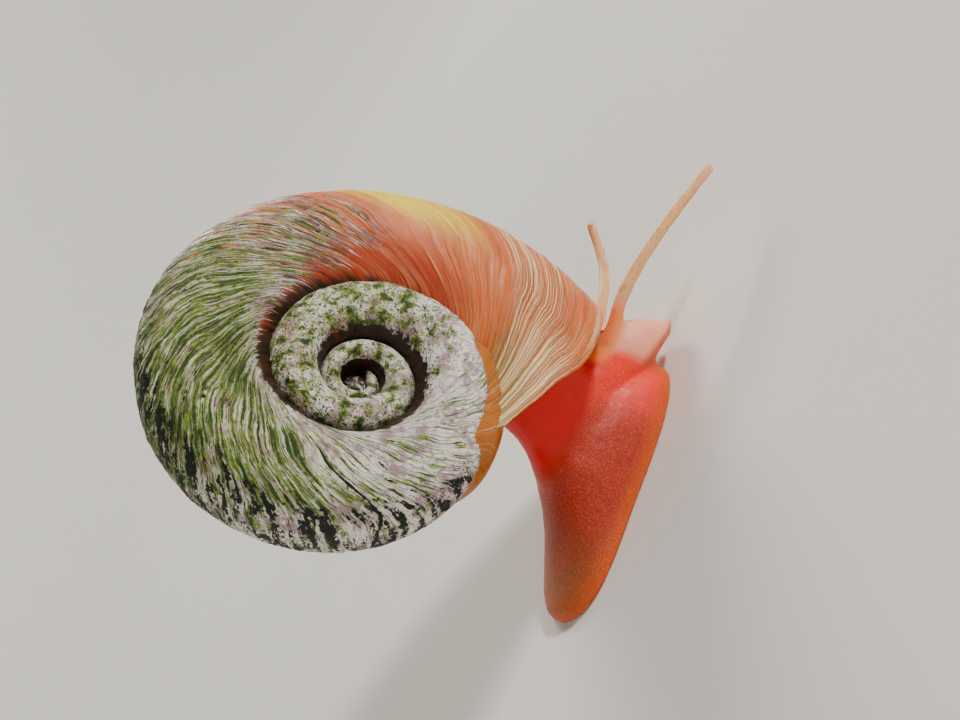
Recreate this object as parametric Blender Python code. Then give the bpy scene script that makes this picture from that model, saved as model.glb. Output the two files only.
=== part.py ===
"""Great ramshorn snail, red form, crawling with its head raised forward.

Solids of the animal at life size. +X is forward, +Y is the snail's left and +Z is up.
The origin is on the ground under the middle of the sole.
"""
import math

import bmesh
import bpy
from mathutils import Matrix, Vector

MM = 0.001                  # lengths below are in millimetres; meshes are in metres
GAP = 0.25                  # space kept between neighbouring solids
SMALL_GAP = 0.12            # the same round the eyes and between the innermost whorls

# Shell: a tube that winds in one plane, measured back from the lip by its growth angle
EXPANSION = 2.43            # growth of every length in one turn
AXIS_DISTANCE = 13.63       # axis to the middle of the tube at the lip, before it narrows in
HALF_WIDTH = 5.45           # axis outwards, at the lip
NEAR_DEPTH = 4.51           # middle of the tube to its right side, at the lip
FAR_DEPTH = 8.23            # middle of the tube to its left side, at the lip
NEAR_FULLNESS = 2.48        # superellipse powers of the two sides of the tube
FAR_FULLNESS = 2.17
NEAR_KEEP = 1.40            # how much slower the right side shrinks in one turn
SPIRE_RISE = 0.56           # offset of the tube towards the right side
SPIRE_SINK = 0.45           # the innermost whorls lie deeper by this much in one turn
SINK_START = 1.6
LIP_DROP = 2.15             # the last half turn bends away to the left by this much
LIP_DRAW_IN = 0.116         # and in towards the axis by this share
LIP_BEND_POWER = 0.65
LIP_FLARE = 0.75            # the edge of the lip stands out by this much
FLARE_ANGLE = 0.75
LAG_START = 20.0            # degrees round the tube where growth lines start to lean forward
LAG_SPAN = 109.0
LAG_ANGLE = 52.0            # their lean at the seam
LAG_POWER = 1.87
LAG_LIMIT = 132.0           # the lip runs no further forward than here
FAR_LAG = 0.20              # the same lean on the left side, as a share
BEND_LIMIT = 1.4            # the bend goes on a little in front of the lip
WALL = 0.6                  # shell wall at the open end
LIP_STEPS = 5               # growth lines along the open end, and points round it
LIP_POINTS = 32

SHELL_TURN = math.radians(18.6)     # heading of the coil's plane
SHELL_LEAN = math.radians(72.0)     # its axis, from upright
LIP_ANGLE = math.radians(-49.1)     # the lip's place round the axis
SHELL_CENTRE = (-4.38, -0.60, 18.73)

# Growth angles, in turns, at which the shell is parted
LIP_END = 0.085
SHELL_PARTS = [             # name, start and end, growth lines along it and points round it
    ("shell_body_whorl_front", 0.085, 0.36, 14, 26),
    ("shell_body_whorl_back", 0.36, 0.68, 14, 26),
    ("shell_body_whorl_inner", 0.68, 1.0, 12, 24),
    ("shell_second_whorl", 1.0, 1.98, 26, 18),
    ("shell_spire", 1.98, 3.1, 24, 12),
]
APEX_RADII = (1.15, 1.15, 0.5)      # the first chamber, at the middle of the coil
APEX_DEPTH = 0.5                    # how far it lies to the left of the coil's plane
MANTLE_START = 0.018        # the mantle's edge, in turns behind the lip
MANTLE_END = 0.080
MANTLE_STEPS = 4
MANTLE_POINTS = 20

# Foot
SOLE_FRONT = 7.65
SOLE_BACK = -11.2
SOLE_WIDEST = -2.0          # where the sole is widest
SOLE_HALF_WIDTH = 3.85
SOLE_BULGE = 3.0            # power of the sole's outline in front, and behind
TAIL_BLUNTNESS = 4.2
TAIL_SWING = -0.6           # the tail's tip lies this far to the side
FOOT_HEIGHT = 5.9
FOOT_TOP = -0.5             # where the foot is highest
TAIL_HEIGHT = 0.85          # height at the tail's tip, and how it rises from there
TAIL_RISE = 3.1
TAIL_CURVE = 4.8
FRONT_HEIGHT = 1.95         # the foot's thick blunt front edge
FRONT_START = 3.0           # where it begins and where it is full
FRONT_FULL = 6.2
MARGIN = 0.42               # thickness of the foot's edge
MARGIN_UNDERCUT = 2.4       # how soon the edge meets the ground
END_ROUNDING = 0.45         # share of the width over which the ends round off
FOOT_SIDE = 0.85            # power of the foot's sides across its width
FOOT_DOME = 1.25            # power of its sides in height, along the foot and in front
FRONT_DOME = 0.45
FOOT_STEPS = 22
FOOT_POINTS = 24
STALK_CUT = 4.5             # height at which the stalk begins
FOOT_CUTS = [-11.3, -6.6, -2.0, 2.6, 8.0]
FOOT_NODES = ["foot_tail", "foot_rear", "foot_middle", "foot_front"]

# Stalk: height, centre x and y, half length and half width
STALK_RINGS = [
    (2.6, 0.5, -0.1, 4.9, 2.7),
    (4.6, 0.5, -0.1, 4.6, 2.5),
    (5.6, 0.75, -0.1, 3.95, 2.5),
    (6.8, 1.1, -0.05, 3.3, 2.6),
    (8.2, 1.3, 0.1, 2.95, 2.7),
    (9.5, 1.3, 0.3, 2.85, 2.8),
]
STALK_POINTS = 24

# Head: centre x and z, half width, height above and depth below, from the neck to the mouth
NECK_CUT = 4.9
HEAD_RINGS = [
    (3.4, 4.3, 2.25, 1.9, 1.9),
    (5.4, 3.9, 2.45, 1.8, 2.0),
    (7.2, 3.5, 2.65, 1.75, 2.2),
    (8.6, 2.75, 2.65, 1.3, 1.9),
    (9.6, 1.9, 2.3, 0.75, 1.2),
    (10.5, 1.35, 1.6, 0.5, 0.8),
]
HEAD_FULLNESS = 3.0         # superellipse power of the head's lower half
HEAD_POINTS = 24
LOBE_CENTRE = (8.75, 1.2, 1.62)     # the velum: a broad lobe on each side of the mouth
LOBE_RADII = (1.9, 1.55, 0.42)
LOBE_CORNERS = 0.72         # power that squares the lobe's outline
LOBE_TILT = math.radians(5.0)
LOBE_CURL = math.radians(14.0)

# Tentacles: points along each, and the radius there
TENTACLE_RIGHT = [
    (6.9, -1.3, 4.6), (8.4, -2.1, 5.5), (10.0, -2.6, 5.8), (12.2, -3.0, 5.75),
    (15.4, -3.4, 5.3), (18.6, -3.7, 4.6), (21.3, -4.0, 4.0),
]
TENTACLE_LEFT = [
    (7.4, 1.1, 3.9), (8.9, 2.0, 4.4), (10.7, 3.0, 4.55), (12.9, 4.0, 4.5),
    (15.1, 5.4, 4.6), (17.2, 6.6, 5.3), (18.9, 7.2, 6.5),
]
TENTACLE_BASE_RADIUS = 1.05
TENTACLE_MIDDLE_RADIUS = 0.46
TENTACLE_TIP_RADIUS = 0.31
TENTACLE_ROOT = 0.09        # share of its length over which the root narrows
TENTACLE_PARTS = [("base", 0.0, 0.36), ("middle", 0.36, 0.68), ("tip", 0.68, 1.0)]
TENTACLE_GAP = 0.016        # the gap between two parts as a share of the length
TENTACLE_STEPS = 8
TENTACLE_POINTS = 12
TIP_ROUNDING = 0.6          # the last ring's share of the tip's radius

EYE_RADIUS = 0.30
EYE_PLACE = (7.35, 0.62, 5.12)

FLESH_RED = (0.72, 0.11, 0.06, 1.0)
FLESH_DEEP = (0.50, 0.03, 0.02, 1.0)
FLESH_PALE = (0.90, 0.45, 0.32, 1.0)
FLESH_TAIL = (0.62, 0.20, 0.12, 1.0)
SHELL_AMBER = (0.66, 0.28, 0.13, 1.0)
SHELL_CRUST = (0.46, 0.45, 0.36, 1.0)
EYE_BLACK = (0.01, 0.008, 0.008, 1.0)


def make_material(name, colour, roughness, coat=0.0):
    """A Principled material with a metallic value of zero."""
    material = bpy.data.materials.new(name)
    material.use_nodes = True
    shader = material.node_tree.nodes["Principled BSDF"]
    shader.inputs["Base Color"].default_value = colour
    shader.inputs["Roughness"].default_value = roughness
    shader.inputs["Metallic"].default_value = 0.0
    shader.inputs["Coat Weight"].default_value = coat
    material.diffuse_color = colour
    return material


def make_object(name, bm, material):
    """Turn a bmesh in millimetres into a named object in metres."""
    bmesh.ops.triangulate(bm, faces=bm.faces)
    bmesh.ops.recalc_face_normals(bm, faces=bm.faces)
    bmesh.ops.scale(bm, vec=(MM, MM, MM), verts=bm.verts)
    mesh = bpy.data.meshes.new(name)
    bm.to_mesh(mesh)
    bm.free()
    mesh.shade_smooth()
    mesh.set_sharp_from_angle(angle=math.radians(40.0))
    mesh.materials.append(material)
    obj = bpy.data.objects.new(name, mesh)
    bpy.context.collection.objects.link(obj)
    return obj


def sweep(rings, close_ends=True):
    """A tube through rings of points: a circle that is extruded from ring to ring."""
    bm = bmesh.new()
    count = len(rings[0])
    bmesh.ops.create_circle(bm, segments=count, radius=1.0, cap_ends=False)
    verts = list(bm.verts)
    edges = list(bm.edges)
    for vert, point in zip(verts, rings[0]):
        vert.co = point
    for ring in rings[1:]:
        made = bmesh.ops.extrude_edge_only(bm, edges=edges)["geom"]
        edges = [item for item in made if isinstance(item, bmesh.types.BMEdge) and item.is_boundary]
        old_to_new = {}
        new_verts = {item for item in made if isinstance(item, bmesh.types.BMVert)}
        for vert in new_verts:
            for edge in vert.link_edges:
                other = edge.other_vert(vert)
                if other not in new_verts:
                    old_to_new[other] = vert
        verts = [old_to_new[vert] for vert in verts]
        for vert, point in zip(verts, ring):
            vert.co = point
    if close_ends:
        loops = [edge for edge in bm.edges if edge.is_boundary]
        caps = bmesh.ops.holes_fill(bm, edges=loops, sides=0)["faces"]
        bmesh.ops.poke(bm, faces=caps)
    return bm


def grown(bm, distance):
    """A copy of a bmesh whose surface is moved outwards."""
    copy = bm.copy()
    bmesh.ops.triangulate(copy, faces=copy.faces)
    bmesh.ops.recalc_face_normals(copy, faces=copy.faces)
    copy.normal_update()
    moves = [(vert, vert.normal * distance) for vert in copy.verts]
    for vert, move in moves:
        vert.co += move
    return copy


def combine(bm, cutter_bm, operation):
    """Boolean of two bmeshes. The first is replaced by the result and the second is kept."""
    objects = []
    for label, source in (("body", bm), ("cutter", cutter_bm)):
        copy = source.copy()
        bmesh.ops.triangulate(copy, faces=copy.faces)
        bmesh.ops.recalc_face_normals(copy, faces=copy.faces)
        mesh = bpy.data.meshes.new(label)
        copy.to_mesh(mesh)
        copy.free()
        obj = bpy.data.objects.new(label, mesh)
        bpy.context.collection.objects.link(obj)
        objects.append(obj)
    modifier = objects[0].modifiers.new("Boolean", "BOOLEAN")
    modifier.operation = operation
    modifier.solver = "EXACT"
    modifier.object = objects[1]
    bpy.context.view_layer.update()
    result = objects[0].evaluated_get(bpy.context.evaluated_depsgraph_get())
    bm.clear()
    bm.from_mesh(result.data)
    for obj in objects:
        mesh = obj.data
        bpy.data.objects.remove(obj)
        bpy.data.meshes.remove(mesh)
    bmesh.ops.remove_doubles(bm, verts=bm.verts, dist=0.002)
    bmesh.ops.dissolve_degenerate(bm, edges=bm.edges, dist=0.002)
    return bm


def cut_off(bm, point, normal):
    """Remove what lies on the normal's side of a plane and close the cut."""
    everything = list(bm.verts) + list(bm.edges) + list(bm.faces)
    bmesh.ops.bisect_plane(
        bm, geom=everything, plane_co=point, plane_no=normal, clear_outer=True, dist=1e-5
    )
    loops = [edge for edge in bm.edges if edge.is_boundary]
    bmesh.ops.holes_fill(bm, edges=loops, sides=0)
    return bm


def signed_power(value, power):
    return math.copysign(abs(value) ** power, value)


def smoothstep(low, high, value):
    share = min(max((value - low) / (high - low), 0.0), 1.0)
    return share * share * (3.0 - 2.0 * share)


# ---------------------------------------------------------------- shell

def lag(angle):
    """How far the growth line runs ahead of its outermost point, in radians."""
    degrees = min(abs(math.degrees(angle)), LAG_LIMIT)
    share = max(0.0, degrees - LAG_START) / LAG_SPAN
    lean = math.radians(LAG_ANGLE) * share ** LAG_POWER
    blend = 0.5 + 0.5 * math.sin(angle) / math.sin(math.radians(LAG_LIMIT))
    return lean * (FAR_LAG + (1.0 - FAR_LAG) * min(max(blend, 0.0), 1.0))


def tube_size(theta):
    """Distance from the axis, offset, half width, near depth and far depth of the tube."""
    turns = theta / (2.0 * math.pi)
    size = EXPANSION ** -turns
    bend = min(max(1.0 - theta / math.pi, 0.0), BEND_LIMIT) ** LIP_BEND_POWER
    distance = AXIS_DISTANCE * size * (1.0 - LIP_DRAW_IN * bend)
    offset = SPIRE_RISE * size - LIP_DROP * bend - SPIRE_SINK * max(0.0, turns - SINK_START)
    flare = LIP_FLARE * math.exp(-max(theta, 0.0) / FLARE_ANGLE)
    half_width = HALF_WIDTH * size + flare
    near = NEAR_DEPTH * size * NEAR_KEEP ** turns
    far = FAR_DEPTH * size
    return distance, offset, half_width, near, far


def section_point(theta, angle, inset=0.0):
    """Distance from the axis and offset of a point on the tube's skin."""
    distance, offset, half_width, near, far = tube_size(theta)
    upper = math.sin(angle) > 0.0
    power = 2.0 / (NEAR_FULLNESS if upper else FAR_FULLNESS)
    depth = (near if upper else far) - inset
    out = distance + (half_width - inset) * signed_power(math.cos(angle), power)
    side = offset + depth * signed_power(math.sin(angle), power)
    return out, side


def clear_of_older_whorl(theta, out, side, gap):
    """Move a point outwards until it clears the whorl that the tube winds round."""
    distance, offset, half_width, near, far = tube_size(theta + 2.0 * math.pi)
    upper = side > offset
    power = NEAR_FULLNESS if upper else FAR_FULLNESS
    depth = (near if upper else far) + gap
    share = abs(side - offset) / depth
    if share >= 1.0:
        return out
    edge = distance + (half_width + gap) * (1.0 - share ** power) ** (1.0 / power)
    return max(out, edge)


def shell_frame():
    turn = Matrix.Rotation(SHELL_TURN, 4, "Z")
    lean = Matrix.Rotation(SHELL_LEAN, 4, "X")
    spin = Matrix.Rotation(LIP_ANGLE, 4, "Z")
    return Matrix.Translation(SHELL_CENTRE) @ turn @ lean @ spin


def shell_ring(growth, count, inset=0.0, gap=GAP):
    """One growth line of the shell as a ring of points in the model's frame."""
    frame = shell_frame()
    ring = []
    for index in range(count):
        angle = -math.pi + 2.0 * math.pi * (index + 0.5) / count
        theta = growth - lag(angle)
        out, side = section_point(theta, angle, inset)
        out = clear_of_older_whorl(theta, out, side, gap + inset)
        ring.append(frame @ Vector((out * math.cos(theta), out * math.sin(theta), side)))
    return ring


def whorl_length(start, end, steps, count, inset=0.0, gap=GAP):
    """Rings of one length of the tube, from start to end in turns."""
    rings = []
    for step in range(steps + 1):
        turns = start + (end - start) * step / steps
        rings.append(shell_ring(2.0 * math.pi * turns, count, inset, gap))
    return rings


def gap_in_turns(turns):
    """The gap between two lengths of the shell as a share of a turn."""
    distance = tube_size(2.0 * math.pi * turns)[0]
    return GAP / (2.0 * math.pi * distance)


def make_shell(amber, crust):
    for name, start, end, steps, count in SHELL_PARTS:
        gap = SMALL_GAP if name == "shell_spire" else GAP
        begin = start + gap_in_turns(start)
        bm = sweep(whorl_length(begin, end, steps, count, 0.0, gap))
        if name == "shell_spire":
            make_apex(bm, crust)
        material = amber if name == "shell_body_whorl_front" else crust
        make_object(name, bm, material)


def make_apex(spire, material):
    """The first chamber: it closes the middle of the coil."""
    bm = bmesh.new()
    bmesh.ops.create_uvsphere(bm, u_segments=16, v_segments=10, radius=1.0)
    bmesh.ops.scale(bm, vec=APEX_RADII, verts=bm.verts)
    bmesh.ops.translate(bm, vec=(0.0, 0.0, -APEX_DEPTH), verts=bm.verts)
    bmesh.ops.transform(bm, matrix=shell_frame(), verts=bm.verts)
    clearance = grown(spire, SMALL_GAP)
    combine(bm, clearance, "DIFFERENCE")
    clearance.free()
    make_object("shell_apex", bm, material)


def make_lip(material):
    """The open end of the shell: an outer and an inner tube joined at both ends."""
    outer = whorl_length(0.0, LIP_END, LIP_STEPS, LIP_POINTS)
    inner = whorl_length(0.0, LIP_END, LIP_STEPS, LIP_POINTS, WALL)
    bm = sweep(outer + inner[::-1], close_ends=False)
    loops = [edge for edge in bm.edges if edge.is_boundary]
    bmesh.ops.bridge_loops(bm, edges=loops)
    make_object("shell_lip", bm, material)


def mantle_plug():
    """The collar of flesh that fills the open end, a little behind the lip."""
    return sweep(
        whorl_length(MANTLE_START, MANTLE_END, MANTLE_STEPS, MANTLE_POINTS, WALL + GAP))


# ---------------------------------------------------------------- flesh

def sole_half_width(x):
    if x > SOLE_WIDEST:
        share = (x - SOLE_WIDEST) / (SOLE_FRONT - SOLE_WIDEST)
    else:
        share = (SOLE_WIDEST - x) / (SOLE_WIDEST - SOLE_BACK)
    power = SOLE_BULGE if x > SOLE_WIDEST else TAIL_BLUNTNESS
    return SOLE_HALF_WIDTH * math.sqrt(max(0.0, 1.0 - share ** power))


def sole_middle(x):
    share = max(0.0, (SOLE_WIDEST - x) / (SOLE_WIDEST - SOLE_BACK))
    return TAIL_SWING * share ** 2


def foot_height(x):
    if x > FOOT_TOP:
        share = (x - FOOT_TOP) / (SOLE_FRONT - FOOT_TOP)
        return FOOT_HEIGHT * (1.0 - share ** 2)
    share = (x - SOLE_BACK) / (FOOT_TOP - SOLE_BACK)
    return min(FOOT_HEIGHT, TAIL_HEIGHT + TAIL_RISE * share + TAIL_CURVE * share ** 3)


def foot_ring(x):
    """A cross-section of the foot: flat sole, thin edge and a domed back."""
    half = sole_half_width(x)
    round_off = min(1.0, half / (END_ROUNDING * SOLE_HALF_WIDTH))
    front = smoothstep(FRONT_START, FRONT_FULL, x)
    height = max(max(foot_height(x), FRONT_HEIGHT * front) * round_off, MARGIN)
    dome = FOOT_DOME + (FRONT_DOME - FOOT_DOME) * front
    ring = []
    for index in range(FOOT_POINTS):
        angle = 2.0 * math.pi * (index + 0.5) / FOOT_POINTS
        sine = math.sin(angle)
        y = sole_middle(x) + half * signed_power(math.cos(angle), FOOT_SIDE)
        if sine > 0.0:
            z = 0.5 * MARGIN + (height - 0.5 * MARGIN) * sine ** dome
        else:
            z = max(0.0, 0.5 * MARGIN * (1.0 + MARGIN_UNDERCUT * sine))
        ring.append(Vector((x, y, z)))
    return ring


def foot_body():
    """The whole foot as one solid, with its stations closer together at both ends."""
    rings = []
    middle = 0.5 * (SOLE_FRONT + SOLE_BACK)
    reach = 0.5 * (SOLE_FRONT - SOLE_BACK) - 0.1 * MARGIN
    for step in range(FOOT_STEPS + 1):
        x = middle - reach * math.cos(math.pi * step / FOOT_STEPS)
        rings.append(foot_ring(x))
    return sweep(rings)


def stalk_body():
    """The stalk that rises from the foot into the shell."""
    rings = []
    for z, x, y, length, width in STALK_RINGS:
        ring = []
        for index in range(STALK_POINTS):
            angle = 2.0 * math.pi * (index + 0.5) / STALK_POINTS
            ring.append(Vector((x + length * math.cos(angle), y + width * math.sin(angle), z)))
        rings.append(ring)
    return sweep(rings)


def head_tube():
    """The head from the neck down to the mouth: round above and square below."""
    rings = []
    last = len(HEAD_RINGS) - 1
    for place, (x, z, width, height, depth) in enumerate(HEAD_RINGS):
        before = HEAD_RINGS[max(place - 1, 0)]
        after = HEAD_RINGS[min(place + 1, last)]
        slope = Vector((after[0] - before[0], 0.0, after[1] - before[1])).normalized()
        rise = Vector((-slope.z, 0.0, slope.x))
        ring = []
        for index in range(HEAD_POINTS):
            angle = 2.0 * math.pi * (index + 0.5) / HEAD_POINTS
            upper = math.sin(angle) > 0.0
            power = 1.0 if upper else 2.0 / HEAD_FULLNESS
            side = Vector((0.0, width * signed_power(math.cos(angle), power), 0.0))
            reach = (height if upper else depth) * signed_power(math.sin(angle), power)
            ring.append(Vector((x, 0.0, z)) + side + rise * reach)
        rings.append(ring)
    return sweep(rings)


def lobe_body(side):
    """A broad thin lobe of the velum; side is 1 on the left and -1 on the right."""
    bm = bmesh.new()
    bmesh.ops.create_uvsphere(bm, u_segments=20, v_segments=12, radius=1.0)
    for vert in bm.verts:
        vert.co.x = signed_power(vert.co.x, LOBE_CORNERS)
        vert.co.y = signed_power(vert.co.y, LOBE_CORNERS)
    bmesh.ops.scale(bm, vec=LOBE_RADII, verts=bm.verts)
    turn = Matrix.Rotation(side * LOBE_CURL, 3, "X") @ Matrix.Rotation(LOBE_TILT, 3, "Y")
    bmesh.ops.rotate(bm, cent=(0.0, 0.0, 0.0), matrix=turn, verts=bm.verts)
    x, y, z = LOBE_CENTRE
    bmesh.ops.translate(bm, vec=(x, side * y, z), verts=bm.verts)
    return bm


def head_body():
    """The head and the two lobes of its velum as one solid, cut at the neck."""
    bm = head_tube()
    for side in (-1.0, 1.0):
        lobe = lobe_body(side)
        combine(bm, lobe, "UNION")
        lobe.free()
    return cut_off(bm, (NECK_CUT + GAP, 0.0, 0.0), (-1.0, 0.0, 0.0))


def smooth_path(points, share):
    """A point on a smooth curve through the given points; share runs from 0 to 1."""
    last = len(points) - 1
    place = min(share * last, last - 1e-9)
    index = int(place)
    part = place - index
    p1 = Vector(points[index])
    p2 = Vector(points[index + 1])
    p0 = Vector(points[index - 1]) if index > 0 else p1 * 2.0 - p2
    p3 = Vector(points[index + 2]) if index + 2 <= last else p2 * 2.0 - p1
    square = part * part
    cube = square * part
    return 0.5 * (
        p1 * 2.0
        + (p2 - p0) * part
        + (p0 * 2.0 - p1 * 5.0 + p2 * 4.0 - p3) * square
        + (p1 * 3.0 - p0 - p2 * 3.0 + p3) * cube
    )


def tentacle_radius(share):
    """Wide at the root, then a slow taper to the tip."""
    root = (TENTACLE_BASE_RADIUS - TENTACLE_MIDDLE_RADIUS) * math.exp(-share / TENTACLE_ROOT)
    return root + TENTACLE_MIDDLE_RADIUS + (TENTACLE_TIP_RADIUS - TENTACLE_MIDDLE_RADIUS) * share


def tentacle_length(points, start, end):
    """One length of a tentacle, ending in a rounded tip where it ends at 1."""
    rings = []
    for step in range(TENTACLE_STEPS + 1):
        share = start + (end - start) * step / TENTACLE_STEPS
        centre = smooth_path(points, share)
        ahead = smooth_path(points, min(share + 0.01, 1.0))
        behind = smooth_path(points, max(share - 0.01, 0.0))
        along = (ahead - behind).normalized()
        across = along.cross(Vector((0.0, 0.0, 1.0))).normalized()
        rise = across.cross(along)
        radius = tentacle_radius(share)
        if share > 0.999:
            radius *= TIP_ROUNDING
        ring = []
        for index in range(TENTACLE_POINTS):
            angle = 2.0 * math.pi * index / TENTACLE_POINTS
            ring.append(centre + (across * math.cos(angle) + rise * math.sin(angle)) * radius)
        rings.append(ring)
    return sweep(rings)


def eye_ball(side, radius):
    bm = bmesh.new()
    bmesh.ops.create_icosphere(bm, subdivisions=2, radius=radius)
    x, y, z = EYE_PLACE
    bmesh.ops.translate(bm, vec=(x, side * y, z), verts=bm.verts)
    return bm


def make_foot(body, head, material, tail_material):
    """Part the foot across its length and clear it of the head above its front."""
    clearance = grown(head, GAP)
    for name, start, end in zip(FOOT_NODES, FOOT_CUTS[:-1], FOOT_CUTS[1:]):
        bm = body.copy()
        cut_off(bm, (0.0, 0.0, STALK_CUT), (0.0, 0.0, 1.0))
        cut_off(bm, (start + 0.5 * GAP, 0.0, 0.0), (-1.0, 0.0, 0.0))
        cut_off(bm, (end - 0.5 * GAP, 0.0, 0.0), (1.0, 0.0, 0.0))
        if name == "foot_front":
            combine(bm, clearance, "DIFFERENCE")
        make_object(name, bm, tail_material if name == "foot_tail" else material)
    clearance.free()


def make_stalk(body, plug, head, material):
    """The stalk from its cut above the foot up to the mantle."""
    bm = body.copy()
    cut_off(bm, (0.0, 0.0, STALK_CUT + GAP), (0.0, 0.0, -1.0))
    for neighbour in (plug, head):
        clearance = grown(neighbour, GAP)
        combine(bm, clearance, "DIFFERENCE")
        clearance.free()
    make_object("body_stalk", bm, material)


def make_head(head, material):
    """The head with a socket for each eye."""
    bm = head.copy()
    for side in (1.0, -1.0):
        socket = eye_ball(side, EYE_RADIUS + SMALL_GAP)
        combine(bm, socket, "DIFFERENCE")
        socket.free()
    make_object("head", bm, material)


def make_tentacles(head, material):
    clearance = grown(head, GAP)
    for side, points in (("right", TENTACLE_RIGHT), ("left", TENTACLE_LEFT)):
        for part, start, end in TENTACLE_PARTS:
            begin = start if part == "base" else start + TENTACLE_GAP
            bm = tentacle_length(points, begin, end)
            if part == "base":
                combine(bm, clearance, "DIFFERENCE")
            make_object(f"tentacle_{side}_{part}", bm, material)
    clearance.free()


def main():
    for obj in list(bpy.data.objects):
        bpy.data.objects.remove(obj)
    flesh = make_material("flesh_coral", FLESH_RED, 0.35, 0.3)
    deep = make_material("flesh_deep_red", FLESH_DEEP, 0.35, 0.3)
    pale = make_material("flesh_pale_pink", FLESH_PALE, 0.35, 0.3)
    tail = make_material("flesh_tail", FLESH_TAIL, 0.4, 0.2)
    amber = make_material("shell_amber", SHELL_AMBER, 0.3, 0.3)
    crust = make_material("shell_lime_crust", SHELL_CRUST, 0.75)
    black = make_material("eye_black", EYE_BLACK, 0.1, 0.5)

    make_lip(amber)
    make_shell(amber, crust)

    plug = mantle_plug()
    make_object("mantle_collar", plug.copy(), deep)
    head = head_body()
    body = foot_body()
    stalk = stalk_body()
    combine(body, stalk, "UNION")
    make_foot(body, head, flesh, tail)
    make_stalk(body, plug, head, deep)
    make_head(head, pale)
    make_tentacles(head, pale)
    for side, name in ((-1.0, "eye_right"), (1.0, "eye_left")):
        make_object(name, eye_ball(side, EYE_RADIUS), black)
    for bm in (plug, head, body, stalk):
        bm.free()


main()
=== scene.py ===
"""Looks of the red great ramshorn snail: a grown shell, one skin of wet flesh, and two eyes.

Lengths inside the modelling functions are in millimetres; every finished mesh is in metres.
"""

import math

import bmesh
import bpy
from bpy.props import FloatProperty, FloatVectorProperty, IntProperty, PointerProperty
from mathutils import Matrix, Vector, noise
from mathutils.geometry import intersect_point_line


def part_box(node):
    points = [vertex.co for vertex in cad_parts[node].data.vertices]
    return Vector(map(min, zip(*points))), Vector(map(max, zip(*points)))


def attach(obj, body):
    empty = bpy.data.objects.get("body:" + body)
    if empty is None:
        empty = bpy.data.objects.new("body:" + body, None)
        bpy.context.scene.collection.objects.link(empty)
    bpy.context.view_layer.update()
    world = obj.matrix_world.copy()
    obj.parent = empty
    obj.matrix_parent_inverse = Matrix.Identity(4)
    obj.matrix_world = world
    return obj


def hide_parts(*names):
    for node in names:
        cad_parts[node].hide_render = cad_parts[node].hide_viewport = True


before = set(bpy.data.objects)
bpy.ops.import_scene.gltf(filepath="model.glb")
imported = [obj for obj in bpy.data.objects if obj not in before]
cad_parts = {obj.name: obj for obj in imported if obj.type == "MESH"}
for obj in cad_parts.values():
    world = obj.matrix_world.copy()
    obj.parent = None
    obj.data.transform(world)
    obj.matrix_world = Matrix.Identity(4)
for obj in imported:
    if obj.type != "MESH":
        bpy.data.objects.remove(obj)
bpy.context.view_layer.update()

bl_info = {
    "name": "Ramshorn snail",
    "version": (1, 0, 0),
    "blender": (4, 5, 0),
    "location": "3D View > Sidebar > Snail",
    "description": "Builds a crawling ramshorn snail with a coiled shell and soft skin",
    "category": "Object",
}

MM = 0.001

# ---- shape of the shell, in mm
# A tube that winds in one plane, measured back from the lip by its growth angle.
EXPANSION = 2.43  # growth of every length in one turn
AXIS_DISTANCE = 13.63  # to the middle of the tube, at the lip
HALF_WIDTH = 5.45  # axis outwards, at the lip
NEAR_DEPTH = 4.51  # middle of the tube to its right side, at the lip
FAR_DEPTH = 8.23  # middle of the tube to its left side, at the lip
NEAR_FULLNESS = 2.48  # superellipse powers of the two sides of the tube
FAR_FULLNESS = 2.17
NEAR_KEEP = 1.40  # how much slower the right side shrinks
SPIRE_RISE = 0.56  # the tube's offset to the right
SPIRE_SINK = 0.45  # the innermost whorls lie deeper
SINK_START = 1.6
LIP_DROP = 2.15  # the last half turn bends away to the left
LIP_DRAW_IN = 0.116  # and in towards the axis by this share
LIP_BEND_POWER = 0.65
LIP_FLARE = 0.75  # the lip's edge stands out by this
FLARE_ANGLE = 0.75
LAG_START = 20.0  # degrees round the tube where growth lines start to lean
LAG_SPAN = 109.0
LAG_ANGLE = 52.0  # their lean at the seam
LAG_POWER = 1.87
LAG_LIMIT = 132.0  # the lip runs no further forward than here
LAG_LIMIT_GROWN = 160.0  # the same on the shell behind it
LAG_LIMIT_TURNS = (0.04, 0.26)
FAR_LAG = 0.20  # share of that lean on the left side
SHELL_TURN = math.radians(18.6)  # heading of the coil's plane
SHELL_LEAN = math.radians(72.0)  # its axis, from upright
LIP_ANGLE = math.radians(-49.1)  # the lip's place round the axis
SHELL_CENTRE = (-4.38, -0.60, 18.73)
APEX_TURNS = 3.1  # where the coil ends
INNER_TURNS = 0.30  # how far back the hollow reaches
SEAM_GRIP = 0.50  # the inner side meets the older whorl
SEAM_GRIP_DEGREES = (138.0, 168.0)
WELD = 0.15  # and grown this far onto it
INNER_ROWS = 46  # rows of the mesh inside the mouth, closest at the lip
INNER_ROW_POWER = 1.6
LIP_ROWS = (  # the lip's rounded edge: growth angle, share of the wall, outside
    (0.0, 0.85, False), (-0.0022, 0.5, False), (0.0, 0.12, True),
)
GIRTH = 6.0  # length round the tube, in half widths
FULL_RELIEF_RADIUS = 9.0  # growth ridges are lower on smaller whorls
FULL_CRUST_RADIUS = 6.0  # and the crust gets thinner
SCAR_TURNS = 0.90  # an old break in growth, mended since
SCAR_WIDTH = 0.0035
SCAR_DEPTH = 0.16
RELIEF_FLOOR = -0.2
CALLUS_THICKNESS = 0.50  # smooth new shell over the older whorl in the mouth
# The nucleus and the floor of the hollow round it are painted with the seams' dark brown painted
# shade.
NUCLEUS_RADII = (0.80, 0.80, 0.46)
NUCLEUS_TURNS = 3.0  # it is painted as shell of this age
NUCLEUS_DEPTH = -0.60
HOLLOW_RADII = (1.45, 1.45, 0.30)  # the floor of the hollow round it
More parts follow.
